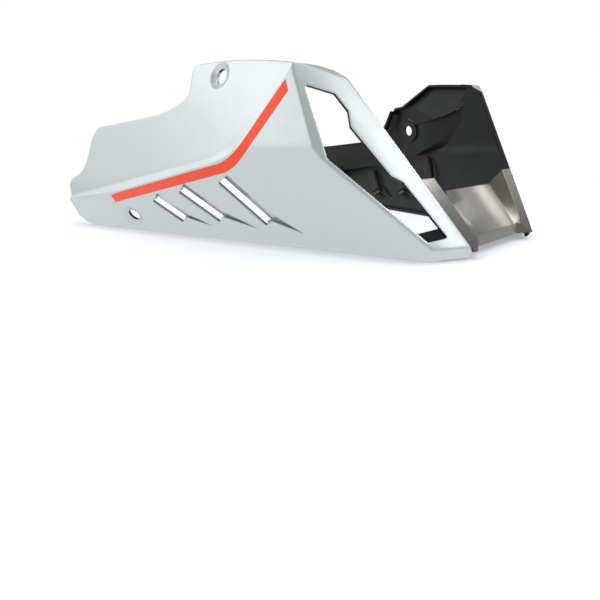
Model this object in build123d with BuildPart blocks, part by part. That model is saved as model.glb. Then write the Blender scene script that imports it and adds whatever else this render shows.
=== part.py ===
"""Motorcycle belly pan: two moulded side panels, a chin piece between them and a stripe on each side.

Frame: +X is forward, +Y is the rider's left, +Z is up. The origin is midway along the length and
across the width, on the ground that the bottom edges stand on. Everything is drawn on the left
(+Y) side first. The right panel and its stripe are then mirrored over the middle plane.
"""
import os

from build123d import *

os.makedirs("parts", exist_ok=True)

# Moulding
wall = 3.0                     # ABS sheet
lip = 9.0                      # width of the edge that is turned in along the outline
film = 0.3                     # thickness of the stripe's film
glue_gap = 0.4                 # between the edge of a frame and the chin's flange

# Corners of the facets, on the left
bend = (70.8, 201.8, 88.8)             # where the edge above the stripe turns
kink = (158.6, 181.2, 91.5)            # where the outer edge of the front frame turns
crown = (131.0, 178.5, 164.0)          # upper outer corner of the front frame
frame_top = (154.0, 134.2, 157.4)      # inner edge of the front frame, upper end
frame_low = (241.5, 71.4, 13.2)        # inner edge of the front frame, lower end
heel = (-188.5, 208.0, 0.0)            # rear end of the bottom edge
edge_rear = (-113.0, 218.0, 45.0)      # convex edge above the stripe, rear end
edge_top = (118.9, 182.5, 155.2)       # convex edge above the stripe, upper end
foot_low = (-4.0, 200.9, 78.2)         # foot of the step, over the flank
foot_high = (94.3, 184.4, 139.3)       # foot of the step, beside the cheek
step_back = (56.0, 196.6, 94.0)        # upper surface behind the stripe's bend
half_width = 217.0

# Corners of the upper surfaces
right_tail = (-217.0, 214.4, 28.0)
right_top = (10.0, 173.4, 180.0)
left_mid = (67.0, 191.8, 135.0)
left_front = (91.0, 191.4, 120.0)
left_rear = (-30.0, 213.6, 130.0)
left_hole_side = (33.0, 197.8, 113.0)
left_low = (-40.0, 223.4, 60.0)
left_width = 212.0
scoop_foot = (67.0, 186.5, 135.0)      # scoop of the left panel, which flares out to its top edge
scoop_rear = (45.0, 207.0, 179.0)
scoop_front = (118.0, 193.3, 174.0)
brow_rear = (0.0, 204.5, 130.0)        # where the scoop runs out behind the hole
brow_front = (67.0, 184.4, 130.0)
tail_crease = (-108.0, 212.0, 68.0)    # left tail: upper facet that leans in
tail_butt = (-236.0, 212.0, 62.0)
tail_brim = (-108.0, 201.0, 90.0)
tail_start = (-38.0, 212.0, 100.0)
tail_turn = (-58.0, 212.0, 77.0)
tail_inner = (-66.0, 201.0, 96.0)

# Side outlines: three points of the bowed top edge, then corners as X, Z and radius
right_top_edge = ((131.0, 170.5), (50.0, 179.5), (-16.0, 179.5))
right_corners = (
    (-14.5, 146.5, 14.0), (-55.0, 131.0, 120.0), (-201.0, 116.5, 20.0), (-203.0, 64.5, 25.0),
    (-238.5, 50.0, 6.0), (-222.0, 29.0, 40.0), (-191.0, 6.0, 12.0), (-186.0, -20.0, 0.0),
)
left_top_edge = ((131.0, 172.0), (90.0, 176.5), (41.0, 179.3))
left_corners = (
    (0.0, 149.5, 20.0), (-18.0, 148.0, 5.0), (-33.0, 120.0, 40.0), (-58.0, 97.0, 50.0),
    (-140.0, 88.0, 200.0), (-240.0, 82.0, 4.0), (-240.0, 61.0, 4.0), (-228.0, 51.0, 10.0),
    (-177.0, 26.0, 8.0), (-174.0, -20.0, 0.0),
)
top_round = 6.0

# Edges
soft = 34.0                    # soft crease between flank and cheek
hem = 10.0                     # round of the bottom edge
frame_round = 5.0              # outer edge of the front frame
crown_round = 15.0             # corner of the top edge over the front frame
step_round = 56.0              # bend of the step

# Mounting holes: place along X and height
hole = 15.0
seat = 28.0                    # dish round a hole, at the surface
seat_floor = 18.0              # the same at its bottom
right_top_hole = (29.5, 166.5)
right_rear_hole = (-104.0, 17.0)
left_top_hole = (10.0, 114.0)
left_rear_hole = (-137.0, 39.0)
seat_depth = 2.6

# Louvres, in side view (X, Z): foot of the slot, its upper end, tip of the ramp
louvres = (
    ((74.0, 23.5), (46.0, 65.0), (109.0, 16.5)),
    ((18.5, 22.5), (-11.0, 52.5), (60.0, 17.0)),
    ((-32.0, 18.0), (-55.0, 40.0), (4.0, 15.0)),
)
slot_width = 7.6
channel_depth = 4.6
slope_width = 10.5             # run of the sloped wall in front of a slot
ramp_depth = 3.6

# Window in the front frame: corners in front view (Y, Z)
window = (
    (173.2, 152.2), (150.1, 145.0), (143.0, 130.2), (145.0, 116.5), (123.3, 75.0),
    (114.2, 69.4), (89.5, 20.8), (109.2, 18.4), (173.0, 90.5),
)
window_round = 1.5

# Stripe, in side view
stripe_path = ((134.0, 165.4), (74.6, 83.1), (-140.0, 32.2))
stripe_width = 8.6
stripe_round = 62.0
stripe_rear = -115.5           # X of its rear end
stripe_gap = 8.0               # from its upper end to the level of the front frame

# Chin piece, across (half widths) and up its own slope from the lower end of the frames
chin_top = 67.6
chin_notch = 57.0              # upper edge of the sunk base
flange_top = 75.0              # half width inside the flanges, at the upper end
flange_low = 55.0
base_top = 47.0                # half width of the sunk base
base_low = 40.0
base_sink = 9.2                # how far the base is sunk below the flanges, at the notch
base_sink_low = 1.5
tab = 10.0                     # width of the tab glued behind the frame
skirt = 236.5                  # X of the lower edge of the base, which is turned down
skirt_half = 46.0              # half width of the turned-down edge
floor_rear = 171.0             # rear edge of the floor behind the chin
floor_level = 7.0


def facet(p, q, r, outward):
    """Plane through three corners, with its normal towards the outside."""
    normal = (Vector(q) - Vector(p)).cross(Vector(r) - Vector(p))
    if normal.dot(Vector(outward)) < 0:
        normal = normal * -1
    return Plane(origin=p, z_dir=normal)


left = (0, 1, 0)
flank = facet(bend, kink, heel, left)
cheek = facet(bend, kink, crown, left)
face = facet(kink, frame_top, frame_low, (1, 0, 0))
girth = Plane(origin=(0, half_width, 0), z_dir=left)
step_low = facet(bend, edge_rear, foot_low, (0, 1, 1))
step_high = facet(bend, edge_top, foot_high, (-1, 1, 1))
upper_right = facet(step_back, right_tail, right_top, left)
upper_left = facet(step_back, left_mid, left_front, left)
flare_left = facet(left_rear, left_hole_side, left_low, left)
girth_left = Plane(origin=(0, left_width, 0), z_dir=left)
scoop = facet(scoop_foot, scoop_rear, scoop_front, left)
brow = facet(brow_rear, brow_front, Vector(brow_rear) + Vector(0, 0, 40), left)
tail_left = facet(tail_crease, tail_butt, tail_brim, (0, 1, 1))
tail_end = facet(tail_start, tail_turn, tail_inner, (-1, 0, 0))
inner_edge = facet(frame_top, frame_low, Vector(frame_low) - face.z_dir * 50, (0, -1, 0))


def crease(part, one, two):
    """Edges that lie on both of two planes."""
    return [
        e for e in part.edges()
        if all(abs(p.to_local_coords(e @ t).Z) < 0.01 for p in (one, two) for t in (0, 0.5, 1))
    ]


def stock():
    with Locations((0, 160, 110)):
        Box(640, 400, 320)


def inside(planes, depth):
    """What lies on the inner side of all the planes, each moved in by depth."""
    with BuildPart() as body:
        stock()
        for plane in planes:
            split(bisect_by=plane.offset(-depth), keep=Keep.BOTTOM)
    return body.part


def outside(planes, depth):
    """What lies on the outer side of all the planes, each moved in by depth."""
    with BuildPart() as body:
        stock()
        for plane in planes:
            split(bisect_by=plane.offset(-depth), keep=Keep.TOP)
    return body.part


def lower_form(depth, floor):
    """Flank, cheek and front frame as a solid, moved in by depth, standing on floor."""
    base = Plane(origin=(0, 0, floor), z_dir=(0, 0, -1))
    faces = [p.offset(-depth) for p in (flank, cheek, face)]
    with BuildPart() as form:
        add(inside((flank, cheek, face, girth), depth))
        split(bisect_by=base, keep=Keep.BOTTOM)
        fillet(crease(form.part, faces[0], faces[1]), soft - depth)
        if depth < hem:
            fillet(crease(form.part, faces[0], base) + crease(form.part, faces[2], base), hem - depth)
        if depth < frame_round:
            rim = crease(form.part, faces[2], faces[1]) + crease(form.part, faces[2], faces[0])
            fillet(rim, frame_round - depth)
    return form.part


def recess(planes, depth):
    """What the step takes away above the stripe, down to the given upper surfaces."""
    with BuildPart() as tool:
        add(outside((step_low, step_high, *planes), depth))
        fillet(crease(tool.part, step_low.offset(-depth), step_high.offset(-depth)), step_round + depth)
    return tool.part


def right_form(depth, floor):
    with BuildPart() as form:
        add(lower_form(depth, floor))
        add(recess((upper_right,), depth), mode=Mode.SUBTRACT)
    return form.part


with BuildSketch(Plane.XZ) as scoop_field:
    with BuildLine():
        edge = Bezier((111, 172), (106, 139), (72, 136), (22, 125.5))
        Polyline(edge @ 1, (-60, 146), (-60, 220), (115, 220), edge @ 0)
    make_face()


def field(shift):
    """Prism over the scoop of the left panel, with its lower edge moved down by shift."""
    with BuildPart() as prism:
        with BuildSketch(Plane.XZ):
            with Locations((0.7 * shift, -shift)):
                add(scoop_field.sketch_local)
        extrude(amount=400, both=True)
    return prism.part


def left_form(depth, floor):
    with BuildPart() as upper:
        add(inside((scoop, girth_left, face), depth))
        add(inside((brow, girth_left, face), depth))
        split(bisect_by=Plane(origin=(0, 0, floor), z_dir=(0, 0, -1)), keep=Keep.BOTTOM)
    with BuildPart() as main:
        add(lower_form(depth, floor))
        add(recess((girth_left,), depth), mode=Mode.SUBTRACT)
        add(recess((upper_left, flare_left), depth), mode=Mode.SUBTRACT)
        add(outside((tail_left, tail_end), depth), mode=Mode.SUBTRACT)
    with BuildPart() as shared:
        add(main.part)
        add(upper.part, mode=Mode.INTERSECT)
    with BuildPart() as crest:
        add(upper.part)
        add(field(-depth), mode=Mode.INTERSECT)
    with BuildPart() as form:
        add(main.part)
        add(field(depth), mode=Mode.SUBTRACT)
        add(crest.part)
        add(shared.part)
    return form.part


def side_outline(top, corners):
    """Side view of a panel: a bowed top edge, then corners that are each rounded off."""
    with BuildSketch(Plane.XZ) as outline:
        with BuildLine():
            ThreePointArc(*top)
            Polyline(top[2], *[(x, z) for x, z, r in corners], (300, -20), (300, 81), top[0])
        make_face()
        for x, z, radius in ((*top[0], crown_round), (*top[2], top_round), *corners[:-1]):
            fillet(outline.vertices().sort_by_distance((x, z, 0))[0], radius)
    return outline.sketch_local


def blank(outline, inset):
    """Prism of a side outline, with its edges moved in by inset."""
    with BuildPart() as prism:
        with BuildSketch(Plane.XZ):
            add(outline)
            if inset:
                offset(amount=-inset, mode=Mode.REPLACE)
        extrude(amount=400, both=True)
    return prism.part


def place(plane, point, along):
    """A point of a view, carried along a direction onto a plane, in the plane's own X and Y."""
    away = plane.to_local_coords(Vector(point)).Z / plane.z_dir.dot(Vector(along))
    spot = plane.to_local_coords(Vector(point) - Vector(along) * away)
    return (spot.X, spot.Y)


def level(plane, x, z):
    """Point of a plane at a place in side view."""
    return plane.from_local_coords(Vector(*place(plane, (x, 0, z), left)))


def beside(foot, top):
    """Plane on the flank along a slot, with Y to the front, and half the slot's length."""
    low, high = level(flank, *foot), level(flank, *top)
    return Plane((low + high) * 0.5, x_dir=high - low, z_dir=flank.z_dir), (high - low).length / 2


def louvre(foot, top, tip, grow):
    """Sunk channel of one louvre with its ramp, made larger by grow at the ends and in front."""
    along, half = beside(foot, top)
    end = half + 0.3 + grow
    rear = 0.5 - slot_width / 2
    front = slot_width / 2 + 0.6 + slope_width + grow
    spot = along.to_local_coords(level(flank, *tip))
    start = along.from_local_coords(Vector(0, front - grow, -grow))
    sunk = along.from_local_coords(Vector(-end, front - grow, -ramp_depth - grow))
    slope = facet(start, along.from_local_coords(Vector(spot.X, spot.Y, -grow)), sunk, flank.z_dir)
    with BuildPart() as tool:
        with BuildSketch(along):
            with BuildLine():
                Polyline((0, slot_width), (-end + grow, slot_width), (spot.X, spot.Y), close=True)
            make_face()
            if grow:
                offset(amount=grow, mode=Mode.REPLACE)
        extrude(amount=-ramp_depth - grow)
        split(bisect_by=slope, keep=Keep.TOP)
        for sink, run in ((0, front), (-channel_depth - grow, front - slope_width)):
            with BuildSketch(along.offset(sink)):
                with BuildLine():
                    Polyline((-end, rear), (end, rear), (end, run), (-end, run), close=True)
                make_face()
        loft(ruled=True)
    return tool.part


def slot(foot, top):
    """The opening in a louvre's channel."""
    along, half = beside(foot, top)
    with BuildPart() as tool:
        with BuildSketch(along):
            RectangleRounded(2 * half, slot_width, 1.5)
        extrude(amount=-30)
    return tool.part


def post(spot, axis, radius, start, end):
    """Round bar along an axis, from start to end as measured from a spot on it."""
    with BuildPart() as bar:
        with BuildSketch(Plane(origin=spot, z_dir=axis).offset(start)):
            Circle(radius)
        extrude(amount=end - start)
    return bar.part


def dish(spot, axis):
    """Sunk seat of a mounting hole, which opens out to the surface and beyond."""
    seat_plane = Plane(origin=spot, z_dir=axis)
    with BuildPart() as bowl:
        with BuildSketch(seat_plane.offset(-seat_depth)):
            Circle(seat_floor / 2)
        with BuildSketch(seat_plane.offset(seat_depth)):
            Circle(seat - seat_floor / 2)
        loft()
    return bowl.part


def core(form, outline):
    """The hollow of a moulding."""
    with BuildPart() as hollow:
        add(form(wall, wall))
        add(blank(outline, wall), mode=Mode.INTERSECT)
    return hollow.part


def boss(form, outline, spot, axis):
    """Thick ground under the seat of a mounting hole, flush with the outside."""
    with BuildPart() as pad:
        add(form(0, 0))
        add(blank(outline, 0), mode=Mode.INTERSECT)
        add(post(spot, axis, seat / 2 + wall, -seat_depth - wall, 30), mode=Mode.INTERSECT)
    return pad.part


def sheet(form, outline, holes):
    """Moulded sheet: form less its hollow, trimmed to the outline, with the edge turned in."""
    with BuildPart() as moulding:
        add(form(0, 0))
        add(blank(outline, 0), mode=Mode.INTERSECT)
        add(core(form, outline), mode=Mode.SUBTRACT)
        add(form(lip, -50), mode=Mode.SUBTRACT)
        split(bisect_by=inner_edge, keep=Keep.BOTTOM)
        with BuildSketch(face) as opening:
            with BuildLine():
                Polyline([place(face, (0, y, z), (1, 0, 0)) for y, z in window], close=True)
            make_face()
            fillet(opening.vertices(), window_round)
        extrude(amount=-3 * wall, mode=Mode.SUBTRACT)
        for row in louvres:
            add(louvre(*row, wall))
        for row in louvres:
            add(louvre(*row, 0), mode=Mode.SUBTRACT)
            add(slot(*row[0:2]), mode=Mode.SUBTRACT)
        for (x, z), planes in holes:
            ground = min(planes, key=lambda plane: level(plane, x, z).Y)
            spot = level(ground, x, z)
            add(boss(form, outline, spot, ground.z_dir))
            add(dish(spot, ground.z_dir), mode=Mode.SUBTRACT)
            add(post(spot, ground.z_dir, hole / 2, -40, 60), mode=Mode.SUBTRACT)
    return moulding.part


def stripe(form):
    """Film on the outside of a form, along the path of the stripe."""
    with BuildPart() as strip:
        add(form(-film, -film))
        add(form(0, -2 * film), mode=Mode.SUBTRACT)
        with BuildSketch(Plane.XZ):
            with BuildLine():
                FilletPolyline(*stripe_path, radius=stripe_round)
            trace(line_width=stripe_width)
        extrude(amount=400, both=True, mode=Mode.INTERSECT)
        split(bisect_by=Plane(origin=(stripe_rear, 0, 0), z_dir=(1, 0, 0)), keep=Keep.TOP)
        split(bisect_by=face.offset(-stripe_gap), keep=Keep.BOTTOM)
    return strip.part


bib = Plane(
    origin=(frame_low[0], 0, frame_low[2]),
    x_dir=left,
    z_dir=(frame_top[2] - frame_low[2], 0, frame_low[0] - frame_top[0]),
)
edge_spread = (frame_top[1] - frame_low[1]) / bib.to_local_coords(Vector(frame_top)).Y


def across(low, low_at, high, high_at, at):
    """Value on the straight line between two stations of the chin."""
    return low + (high - low) * (at - low_at) / (high_at - low_at)


def chin_section(at, depth):
    """Cross-section of the chin at a station up its slope, moved in by depth."""
    edge = frame_low[1] + edge_spread * at + tab
    flange = across(flange_low, 8, flange_top, chin_top, at)
    base = across(base_low, 3, base_top, chin_notch, at)
    sink = across(base_sink_low, 3, base_sink, chin_notch, at)
    station = Plane(bib.from_local_coords(Vector(0, at, 0)), x_dir=left, z_dir=bib.y_dir * -1)
    with BuildSketch(station) as cut:
        with BuildLine():
            Polyline(
                (edge, -depth), (flange, -depth), (base, -sink - depth), (-base, -sink - depth),
                (-flange, -depth), (-edge, -depth), (-edge, -60), (edge, -60), close=True,
            )
        make_face()
    return cut.sketch


def chin_form(depth):
    with BuildPart() as form:
        loft([chin_section(-14, depth), chin_section(chin_top + 12, depth)], ruled=True)
    return form.part


def chin_field(rise):
    """Prism of the chin's outline, seen square to its slope, with the lower edge moved up by rise."""
    with BuildPart() as prism:
        with BuildSketch(bib):
            with BuildLine():
                Polyline(
                    (-frame_low[1] - 30, rise - 8), (frame_low[1] + 30, rise - 8),
                    (frame_low[1] + 60, chin_top), (flange_top, chin_top), (base_top, chin_notch),
                    (-base_top, chin_notch), (-flange_top, chin_top), (-frame_low[1] - 60, chin_top),
                    close=True,
                )
            make_face()
        extrude(amount=80, both=True)
    return prism.part


def chin_block(depth):
    """The chin as a solid, moved in by depth, with the lower edge of its base turned down."""
    back, half = skirt - depth, skirt_half + depth
    with BuildPart() as block:
        add(chin_form(depth))
        add(chin_field(depth), mode=Mode.INTERSECT)
        split(bisect_by=Plane(origin=(0, 0, floor_level + depth), z_dir=(0, 0, 1)), keep=Keep.TOP)
        with BuildSketch(Plane.XY):
            with BuildLine():
                Polyline(
                    (back, -half), (back, half), (back + 10, half + 18), (back + 40, half + 18),
                    (back + 40, -half - 18), (back + 10, -half - 18), close=True,
                )
            make_face()
        extrude(amount=100, mode=Mode.SUBTRACT)
    return block.part


with BuildPart() as ear:
    add(inside((face,), wall))
    add(inside((face,), 2 * wall), mode=Mode.SUBTRACT)
    split(bisect_by=inner_edge.offset(tab / 2), keep=Keep.BOTTOM)
    split(bisect_by=inner_edge.offset(-tab), keep=Keep.TOP)
    with BuildSketch(bib):
        with Locations((0, (chin_top + 6) / 2)):
            Rectangle(400, chin_top - 6)
    extrude(amount=80, both=True, mode=Mode.INTERSECT)

with BuildPart() as pan_floor:
    with Locations((floor_rear, 0, floor_level)):
        Box(100, 400, wall, align=(Align.MIN, Align.CENTER, Align.MIN))
    split(bisect_by=bib.offset(-lip + 0.5), keep=Keep.BOTTOM)
    split(bisect_by=flank.offset(-lip), keep=Keep.BOTTOM)
    split(bisect_by=face.offset(-lip), keep=Keep.BOTTOM)

with BuildPart() as centre_pan:
    add(chin_block(0))
    add(chin_form(lip), mode=Mode.SUBTRACT)
    add(chin_block(wall), mode=Mode.SUBTRACT)
    split(bisect_by=inner_edge.offset(glue_gap), keep=Keep.TOP)
    add(ear.part)
    add(pan_floor.part)
    split(bisect_by=Plane.XZ, keep=Keep.BOTTOM)
    mirror(about=Plane.XZ)
centre_pan.part.label = "centre_pan"
export_step(centre_pan.part, "parts/centre_pan.step")

left_holes = ((left_top_hole, (flare_left, girth_left, girth)), (left_rear_hole, (flank, girth_left, girth)))
right_holes = ((right_top_hole, (upper_right, girth)), (right_rear_hole, (flank, girth)))

with BuildPart() as left_panel:
    add(sheet(left_form, side_outline(left_top_edge, left_corners), left_holes))
left_panel.part.label = "left_panel"
export_step(left_panel.part, "parts/left_panel.step")

with BuildPart() as right_panel:
    add(sheet(right_form, side_outline(right_top_edge, right_corners), right_holes))
    mirror(about=Plane.XZ, mode=Mode.REPLACE)
right_panel.part.label = "right_panel"
export_step(right_panel.part, "parts/right_panel.step")

with BuildPart() as left_stripe:
    add(stripe(left_form))
left_stripe.part.label = "left_stripe"
export_step(left_stripe.part, "parts/left_stripe.step")

with BuildPart() as right_stripe:
    add(stripe(right_form))
    mirror(about=Plane.XZ, mode=Mode.REPLACE)
right_stripe.part.label = "right_stripe"
export_step(right_stripe.part, "parts/right_stripe.step")
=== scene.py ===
import math

import bmesh
import bpy
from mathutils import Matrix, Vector


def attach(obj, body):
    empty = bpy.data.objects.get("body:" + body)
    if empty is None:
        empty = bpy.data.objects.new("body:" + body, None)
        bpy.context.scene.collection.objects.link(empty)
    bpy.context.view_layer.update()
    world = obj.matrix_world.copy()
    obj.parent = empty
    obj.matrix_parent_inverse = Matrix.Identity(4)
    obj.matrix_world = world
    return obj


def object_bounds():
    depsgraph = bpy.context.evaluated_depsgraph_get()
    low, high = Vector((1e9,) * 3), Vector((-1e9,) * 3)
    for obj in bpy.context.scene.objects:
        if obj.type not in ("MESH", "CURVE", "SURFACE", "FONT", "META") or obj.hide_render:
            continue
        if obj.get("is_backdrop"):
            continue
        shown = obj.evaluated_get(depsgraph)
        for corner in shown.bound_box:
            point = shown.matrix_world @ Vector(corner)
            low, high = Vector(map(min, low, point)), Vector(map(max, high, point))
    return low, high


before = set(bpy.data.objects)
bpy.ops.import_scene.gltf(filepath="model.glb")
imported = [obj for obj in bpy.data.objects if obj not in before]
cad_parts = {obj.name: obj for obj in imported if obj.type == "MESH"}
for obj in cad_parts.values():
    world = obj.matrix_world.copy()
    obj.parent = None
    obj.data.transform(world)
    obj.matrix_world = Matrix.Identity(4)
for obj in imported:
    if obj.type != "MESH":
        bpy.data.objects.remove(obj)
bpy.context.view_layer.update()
bpy.context.scene.view_settings.view_transform = "Standard"

# Side panels: two ABS mouldings, sprayed in silver metallic lacquer on the outside only.
# The inside keeps the bare black of the plastic, with the fine grain of the tool.
# The face of the front frame is drawn a little round as it cools.


def new_material(name):
    material = bpy.data.materials.new(name)
    material.use_nodes = True
    return material, material.node_tree, material.node_tree.nodes["Principled BSDF"]


def set_sockets(node, levels):
    for name, level in levels.items():
        node.inputs[name].default_value = level


def worked(tree, operation, *inputs):
    """Result of a sum on sockets and plain numbers."""
    node = tree.nodes.new("ShaderNodeMath")
    node.operation = operation
    for socket, given in zip(node.inputs, inputs):
        if isinstance(given, float):
            socket.default_value = given
        else:
            tree.links.new(given, socket)
    return node.outputs[0]


def rounded_grain(tree, surface, edge, scale, strength, depth):
    """Soft edges and a fine grain on the shader's normal. Gives back the place on the piece."""
    place = tree.nodes.new("ShaderNodeTexCoord").outputs["Object"]
    grain = tree.nodes.new("ShaderNodeTexNoise")
    set_sockets(grain, {"Scale": scale, "Detail": 3.0})
    bump = tree.nodes.new("ShaderNodeBump")
    set_sockets(bump, {"Strength": strength, "Distance": depth})
    tree.links.new(place, grain.inputs["Vector"])
    tree.links.new(grain.outputs["Fac"], bump.inputs["Height"])
    tree.links.new(bump.outputs["Normal"], surface.inputs["Normal"])
    if edge:
        bevel = tree.nodes.new("ShaderNodeBevel")
        bevel.samples = 6
        bevel.inputs["Radius"].default_value = edge
        tree.links.new(bevel.outputs["Normal"], bump.inputs["Normal"])
    return place


def spread(tree, place, scale, low, high, socket):
    """A number or a colour that drifts a little over the piece."""
    noise_low, noise_high = 0.3, 0.7
    noise = tree.nodes.new("ShaderNodeTexNoise")
    set_sockets(noise, {"Scale": scale, "Detail": 2.0})
    tree.links.new(place, noise.inputs["Vector"])
    if isinstance(low, tuple):
        ramp = tree.nodes.new("ShaderNodeValToRGB")
        ends = ((noise_low, low), (noise_high, high))
        for stop, (position, colour) in zip(ramp.color_ramp.elements, ends):
            stop.position = position
            stop.color = (*colour, 1.0)
        tree.links.new(noise.outputs["Fac"], ramp.inputs["Fac"])
        tree.links.new(ramp.outputs["Color"], socket)
    else:
        drift = tree.nodes.new("ShaderNodeMapRange")
        set_sockets(drift, {"From Min": noise_low, "From Max": noise_high})
        set_sockets(drift, {"To Min": low, "To Max": high})
        tree.links.new(noise.outputs["Fac"], drift.inputs["Value"])
        tree.links.new(drift.outputs["Result"], socket)


def bowed(tree, surface, off_middle, bow):
    """Shading of a face that rises by bow times the square of the way from its middle."""
    squared = worked(tree, "MULTIPLY", off_middle, off_middle)
    bump = tree.nodes.new("ShaderNodeBump")
    set_sockets(bump, {"Strength": 1.0, "Distance": 1.0})
    tree.links.new(worked(tree, "MULTIPLY", squared, bow), bump.inputs["Height"])
    tree.links.new(surface.inputs["Normal"].links[0].from_socket, bump.inputs["Normal"])
    tree.links.new(bump.outputs["Normal"], surface.inputs["Normal"])


silver_dark, silver_light = (0.615, 0.66, 0.67), (0.675, 0.72, 0.73)
# Reach and power of the painted shade that darkens the lacquer in its hollows.
painted_shade_reach, painted_shade_power = 0.014, 0.6


def silver(name):
    """Metallic lacquer, with painted shade: its colour darkens in the hollows by ambient
    occlusion.
    """
    material, tree, surface = new_material(name)
    set_sockets(surface, {"Metallic": 0.72, "Coat Weight": 0.2, "Coat Roughness": 0.2})
    place = rounded_grain(tree, surface, edge=0.0026, scale=900.0, strength=0.05, depth=0.0002)
    # Painted shade: ambient occlusion darkens the base colour in the louvre channels, creases
    # and seats.
    painted_shade_ao = tree.nodes.new("ShaderNodeAmbientOcclusion")
    painted_shade_ao.samples = 8
    painted_shade_ao.only_local = True
    painted_shade_ao.inputs["Distance"].default_value = painted_shade_reach
    painted_shade_factor = worked(tree, "POWER", painted_shade_ao.outputs["AO"], painted_shade_power)
    painted_shade_colour = tree.nodes.new("ShaderNodeVectorMath")
    painted_shade_colour.operation = "SCALE"
    spread(tree, place, 1600.0, silver_dark, silver_light, painted_shade_colour.inputs[0])
    tree.links.new(painted_shade_factor, painted_shade_colour.inputs["Scale"])
    tree.links.new(painted_shade_colour.outputs["Vector"], surface.inputs["Base Color"])
    spread(tree, place, 60.0, 0.30, 0.35, surface.inputs["Roughness"])
    return material, tree, surface, place


silver_lacquer = silver("silver_lacquer")[0]

frame_foot = Vector((0.2415, 0.0714, 0.0132))            # lower end of the frame's inner edge
inward = Vector((0.199, -0.848, 0.490))                  # across the frame, to the pan's middle
frame_middle, frame_bow = 0.032, -2.7
middle_level = frame_foot.dot(inward) - frame_middle
silver_frame, tree, surface, place = silver("silver_frame")
parts = tree.nodes.new("ShaderNodeSeparateXYZ")
on_left = tree.nodes.new("ShaderNodeCombineXYZ")
across = tree.nodes.new("ShaderNodeVectorMath")
across.operation = "DOT_PRODUCT"
across.inputs[1].default_value = inward
tree.links.new(place, parts.inputs[0])
tree.links.new(parts.outputs["X"], on_left.inputs["X"])
tree.links.new(worked(tree, "ABSOLUTE", parts.outputs["Y"]), on_left.inputs["Y"])
tree.links.new(parts.outputs["Z"], on_left.inputs["Z"])
tree.links.new(on_left.outputs[0], across.inputs[0])
off_middle = worked(tree, "SUBTRACT", across.outputs["Value"], middle_level)
bowed(tree, surface, off_middle, frame_bow)

black_dark, black_light = (0.009, 0.0105, 0.0105), (0.014, 0.016, 0.016)
black_plastic, tree, surface = new_material("black_plastic")
surface.inputs["Specular IOR Level"].default_value = 0.28
place = rounded_grain(tree, surface, edge=0.0008, scale=1400.0, strength=0.25, depth=0.0003)
spread(tree, place, 35.0, black_dark, black_light, surface.inputs["Base Color"])
spread(tree, place, 90.0, 0.34, 0.44, surface.inputs["Roughness"])

lacquer_slot, bare_slot, bowed_slot = 0, 1, 2
heart = Vector((0.0, 0.0, 0.09))                         # a point between the panels
kink = Vector((0.1586, 0.1812, 0.0915))                  # where cheek, flank and frame meet
front = Vector((0.8509, 0.3978, 0.3431)).normalized()    # the way the left frame faces
side = Vector((0.2070, 0.8105, -0.5479)).normalized()    # the way the left flank faces
front_level, side_level = front.dot(kink), side.dot(kink)
on_face, window_depth = 0.0005, 0.0035
louvre_rear, louvre_front, louvre_top = -0.07, 0.12, 0.075
louvre_start, louvre_sink = 0.0002, 0.02


def is_painted(middle, normal):
    """Whether a facet of a panel, carried over to the left, lies on the sprayed side."""
    behind = front_level - front.dot(middle)
    if -0.001 < behind < window_depth and abs(front.dot(normal)) < 0.15:
        return False    # edge of the window
    sunk = side_level - side.dot(middle)
    by_louvres = louvre_rear < middle.x < louvre_front and middle.z < louvre_top
    if by_louvres and louvre_start < sunk < louvre_sink and side.dot(normal) < 0.9:
        return side.dot(normal) > -0.15
    return (middle - heart).dot(normal) > 0


for name, turn in (("right_panel", -1.0), ("left_panel", 1.0)):
    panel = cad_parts[name]
    panel.data.materials.clear()
    for material in (silver_lacquer, black_plastic, silver_frame):
        panel.data.materials.append(material)
    for facet in panel.data.polygons:
        middle = Vector((facet.center.x, turn * facet.center.y, facet.center.z))
        normal = Vector((facet.normal.x, turn * facet.normal.y, facet.normal.z))
        facet.material_index = lacquer_slot if is_painted(middle, normal) else bare_slot
        if front.dot(normal) > 0.985 and front_level - front.dot(middle) < on_face:
            facet.material_index = bowed_slot

# Louvre lips: a bent strip of bare black ABS behind each slot, welded to the inside of the panel
# along the slot's front edge. It hides the slot from the inside and turns the air to the rear.

slots = (    # foot and upper end of each slot, X and Z
    ((0.074, 0.0235), (0.046, 0.065)),
    ((0.0185, 0.0225), (-0.011, 0.0525)),
    ((-0.032, 0.018), (-0.055, 0.040)),
)
lip_root, lip_sink = 0.0046, 0.0142       # under the face of the flank
lip_front, lip_rear = 0.0115, -0.001      # ahead of the slot's middle line
lip_wall, lip_bend = 0.0015, 0.002
lip_past_foot = 0.008
lip_section = (
    (lip_front, -lip_root),
    (lip_front, lip_bend - lip_sink),
    (lip_front - lip_bend, -lip_sink),
    (lip_rear, -lip_sink),
    (lip_rear, lip_wall - lip_sink),
    (lip_front - lip_bend, lip_wall - lip_sink),
    (lip_front - lip_wall, lip_bend - lip_sink),
    (lip_front - lip_wall, -lip_root),
)


def on_flank(x, z):
    return Vector((x, (side_level - side.x * x - side.z * z) / side.y, z))


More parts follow.
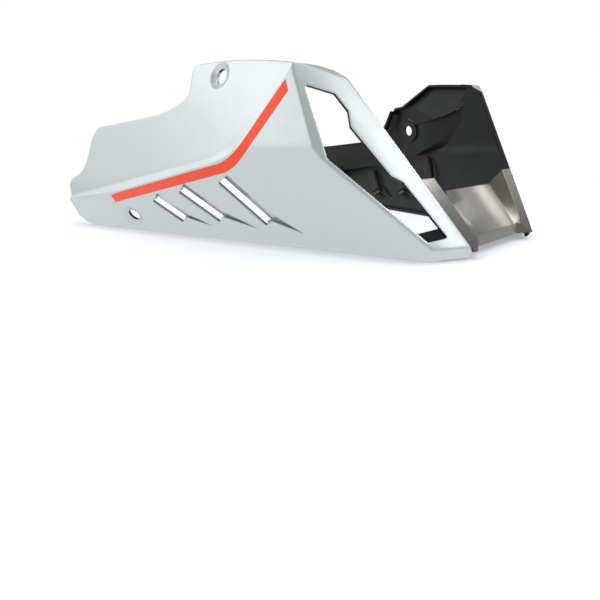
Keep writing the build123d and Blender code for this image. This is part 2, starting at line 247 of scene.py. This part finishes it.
for name, turn in (("right_lips", -1.0), ("left_lips", 1.0)):
    strips = bmesh.new()
    for foot, top in slots:
        low, high = on_flank(*foot), on_flank(*top)
        along = (high - low).normalized()
        ahead = side.cross(along)
        rings = []
        for end in (low - along * lip_past_foot, high):
            ring = [end + ahead * forth + side * out for forth, out in lip_section]
            rings.append([strips.verts.new((spot.x, turn * spot.y, spot.z)) for spot in ring])
        first, last = rings
        strips.faces.new(first)
        strips.faces.new(last)
        for i in range(len(first)):
            strips.faces.new((first[i - 1], first[i], last[i], last[i - 1]))
    bmesh.ops.recalc_face_normals(strips, faces=strips.faces)
    lips_mesh = bpy.data.meshes.new(name)
    strips.to_mesh(lips_mesh)
    strips.free()
    lips_mesh.materials.append(black_plastic)
    lips = bpy.data.objects.new(name, lips_mesh)
    bpy.context.scene.collection.objects.link(lips)
    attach(lips, "root")

# Chin piece: one ABS moulding in dark bronze lacquer, black and bare behind, with a tab on each
# side that is glued behind the front frames. Its base is drawn a little hollow as it cools.

bronze_dark, bronze_light = (0.096, 0.088, 0.068), (0.110, 0.101, 0.079)


def bronze(name, gloss_low, gloss_high):
    material, tree, surface = new_material(name)
    set_sockets(surface, {"Metallic": 0.6, "Coat Weight": 0.4, "Coat Roughness": gloss_low})
    place = rounded_grain(tree, surface, edge=0.0014, scale=900.0, strength=0.06, depth=0.0002)
    spread(tree, place, 1600.0, bronze_dark, bronze_light, surface.inputs["Base Color"])
    spread(tree, place, 60.0, gloss_low, gloss_high, surface.inputs["Roughness"])
    return material, tree, surface, place


base_bow = 3.0
bronze_lacquer = bronze("bronze_lacquer", 0.17, 0.21)[0]
bronze_base, tree, surface, place = bronze("bronze_base", 0.23, 0.27)
parts = tree.nodes.new("ShaderNodeSeparateXYZ")
tree.links.new(place, parts.inputs[0])
bowed(tree, surface, parts.outputs["Y"], base_bow)

bib = Vector((0.865, 0.0, 0.501))      # the way the flanges face
base = Vector((0.786, 0.0, 0.619))     # the way the sunk base faces
base_half = 0.05
plate_top = 0.0105
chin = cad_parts["centre_pan"]
chin.data.materials.clear()
for material in (bronze_lacquer, black_plastic, bronze_base):
    chin.data.materials.append(material)
for facet in chin.data.polygons:
    on_plate = facet.center.z < plate_top and facet.normal.z > 0.9
    sprayed = facet.normal.dot(bib) > -0.05 and not on_plate
    facet.material_index = lacquer_slot if sprayed else bare_slot
    if facet.normal.dot(base) > 0.99 and abs(facet.center.y) < base_half:
        facet.material_index = bowed_slot

# Stripes: cut with a knife from fluorescent red film with a glue back, and rubbed down by hand
# on the lacquer along the edge of the step, with one bend above the louvres.

red_dark, red_light = (0.92, 0.046, 0.006), (0.95, 0.054, 0.008)
# Painted light: a faint red emission makes the film glow brighter than the lamps alone light it.
red_painted_glow = (1.0, 0.10, 0.01, 1.0)
red_film, tree, surface = new_material("red_film")
set_sockets(surface, {"Coat Weight": 0.18, "Coat Roughness": 0.12})
set_sockets(surface, {"Emission Color": red_painted_glow, "Emission Strength": 0.18})
place = rounded_grain(tree, surface, edge=0.0, scale=500.0, strength=0.03, depth=0.0002)
spread(tree, place, 40.0, red_dark, red_light, surface.inputs["Base Color"])
spread(tree, place, 120.0, 0.24, 0.30, surface.inputs["Roughness"])
for name in ("right_stripe", "left_stripe"):
    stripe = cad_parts[name]
    stripe.data.materials.clear()
    stripe.data.materials.append(red_film)

# Floor: a white paper sheet under the pan, plain white away from it and where the lacquer
# mirrors it. Near the pan it keeps the shadow, which is darkest where the two touch.

floor_reach, floor_drop = 30.0, 0.0005
paper_white = (1.0, 1.0, 1.0)
paper_bounce = (0.80, 0.80, 0.81)
paper_shade, paper_glow = (0.47, 0.51, 0.545), (0.975, 0.99, 1.0)
contact_reach = 0.022
contact_light, open_light = 0.32, 0.62
fade_start, fade_end = 0.30, 0.75


def plain_shader(tree, kind, colour, strength=None):
    node = tree.nodes.new(kind)
    node.inputs["Color"].default_value = (*colour, 1.0)
    if strength is not None:
        node.inputs["Strength"].default_value = strength
    return node


def mixed(tree, share, first, second):
    """Shader that goes from the first to the second as the share goes from 0 to 1."""
    mix = tree.nodes.new("ShaderNodeMixShader")
    for socket, source in zip(mix.inputs, (share, first, second)):
        tree.links.new(source, socket)
    return mix.outputs[0]


white_sheet, tree, surface = new_material("white_sheet")
tree.nodes.clear()
path = tree.nodes.new("ShaderNodeLightPath").outputs
seen = worked(tree, "MAXIMUM", path["Is Camera Ray"], path["Is Glossy Ray"])
seen = worked(tree, "MAXIMUM", seen, path["Is Transmission Ray"])
bounce = plain_shader(tree, "ShaderNodeBsdfDiffuse", paper_bounce)
paper = plain_shader(tree, "ShaderNodeEmission", paper_white, 1.0)
shade = plain_shader(tree, "ShaderNodeBsdfDiffuse", paper_shade)
glow = plain_shader(tree, "ShaderNodeEmission", paper_glow)
# Painted shadow: ambient occlusion dims the floor's glow where the pan stands close to it.
painted_contact_shadow = tree.nodes.new("ShaderNodeAmbientOcclusion")
painted_contact_shadow.samples = 8
painted_contact_shadow.inputs["Distance"].default_value = contact_reach
gained = open_light - contact_light
light = worked(tree, "MULTIPLY_ADD", painted_contact_shadow.outputs["AO"], gained, contact_light)
tree.links.new(light, glow.inputs["Strength"])
shadowed = tree.nodes.new("ShaderNodeAddShader")
tree.links.new(shade.outputs[0], shadowed.inputs[0])
tree.links.new(glow.outputs[0], shadowed.inputs[1])
away = tree.nodes.new("ShaderNodeVectorMath")
away.operation = "LENGTH"
tree.links.new(tree.nodes.new("ShaderNodeTexCoord").outputs["Object"], away.inputs[0])
fade = tree.nodes.new("ShaderNodeMapRange")
fade.interpolation_type = "SMOOTHSTEP"
set_sockets(fade, {"From Min": fade_start, "From Max": fade_end})
tree.links.new(away.outputs["Value"], fade.inputs["Value"])
plain = worked(tree, "MAXIMUM", fade.outputs["Result"], path["Is Glossy Ray"])
shown = mixed(tree, plain, shadowed.outputs[0], paper.outputs[0])
out = tree.nodes.new("ShaderNodeOutputMaterial")
tree.links.new(mixed(tree, seen, bounce.outputs[0], shown), out.inputs["Surface"])

floor_mesh = bpy.data.meshes.new("floor")
floor_corners = [(-1, -1, 0), (1, -1, 0), (1, 1, 0), (-1, 1, 0)]
floor_corners = [Vector(corner) * floor_reach for corner in floor_corners]
floor_mesh.from_pydata(floor_corners, [], [(0, 1, 2, 3)])
floor_mesh.materials.append(white_sheet)
floor = bpy.data.objects.new("floor", floor_mesh)
floor.location.z = -floor_drop
bpy.context.scene.collection.objects.link(floor)
floor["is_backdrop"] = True

# Lights: a surround that is white to the camera and dim to the pan, and soft boxes of white
# cloth on stands, each where one facet of the pan mirrors it.

surround, surround_light = (0.96, 0.98, 1.0), 0.46
world = bpy.data.worlds.new("white_surround")
bpy.context.scene.world = world
world.use_nodes = True
tree = world.node_tree
tree.nodes.clear()
path = tree.nodes.new("ShaderNodeLightPath").outputs
seen = worked(tree, "MAXIMUM", path["Is Camera Ray"], path["Is Transmission Ray"])
dim = plain_shader(tree, "ShaderNodeBackground", surround, surround_light)
bright = plain_shader(tree, "ShaderNodeBackground", paper_white, 1.0)
out = tree.nodes.new("ShaderNodeOutputWorld")
tree.links.new(mixed(tree, seen, dim.outputs[0], bright.outputs[0]), out.inputs["Surface"])


def soft_box(name, place, target, size, power):
    lamp = bpy.data.lights.new(name, "AREA")
    lamp.shape = "RECTANGLE"
    lamp.size, lamp.size_y = size
    lamp.energy = power
    holder = bpy.data.objects.new(name, lamp)
    holder.location = place
    way = Vector(target) - Vector(place)
    holder.rotation_euler = way.to_track_quat("-Z", "Y").to_euler()
    bpy.context.scene.collection.objects.link(holder)


above_front = (0.35, -0.2, 0.1)
upper_panel, cheek = (0.0, -0.15, 0.12), (0.05, -0.18, 0.1)
right_frame, chin_base = (0.2, -0.1, 0.09), (0.21, 0.03, 0.05)
soft_box("overhead", (0.35, -0.2, 1.7), above_front, (2.1, 1.6), 12.5)
soft_box("rear_box", (-1.90, -0.92, 1.10), upper_panel, (2.8, 1.8), 8.0)
soft_box("rear_high_box", (-1.68, -1.045, 1.25), upper_panel, (2.15, 0.7), 3.3)
soft_box("right_box", (-0.75, -1.75, 0.55), cheek, (1.3, 0.8), 3.4)
soft_box("front_box", (1.72, 0.70, 1.03), right_frame, (0.5, 1.15), 4.5)
soft_box("left_box", (0.385, 1.69, 0.72), chin_base, (1.03, 0.5), 0.9)
soft_box("left_front_box", (0.86, 1.32, 0.94), chin_base, (0.44, 0.36), 3.7)

# Camera: at the photo's place for its upper view, fitted to the corners of the pan.
# The shift puts the pan in the upper half of the picture, as the photo has it.

photo_width, focal, lowered = 600.0, 548.2, 100.0    # in pixels
turn, dip = math.radians(42.90), math.radians(-7.145)
eye = bpy.data.cameras.new("eye")
eye.sensor_width = 36.0
eye.lens = eye.sensor_width * focal / photo_width
eye.shift_y = -lowered / photo_width
camera = bpy.data.objects.new("eye", eye)
camera.location = (0.45477, -0.52039, 0.11288)
level = math.cos(dip)
ahead = Vector((-math.sin(turn) * level, math.cos(turn) * level, math.sin(dip)))
camera.rotation_euler = ahead.to_track_quat("-Z", "Y").to_euler()
bpy.context.scene.collection.objects.link(camera)
bpy.context.scene.camera = camera

low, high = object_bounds()
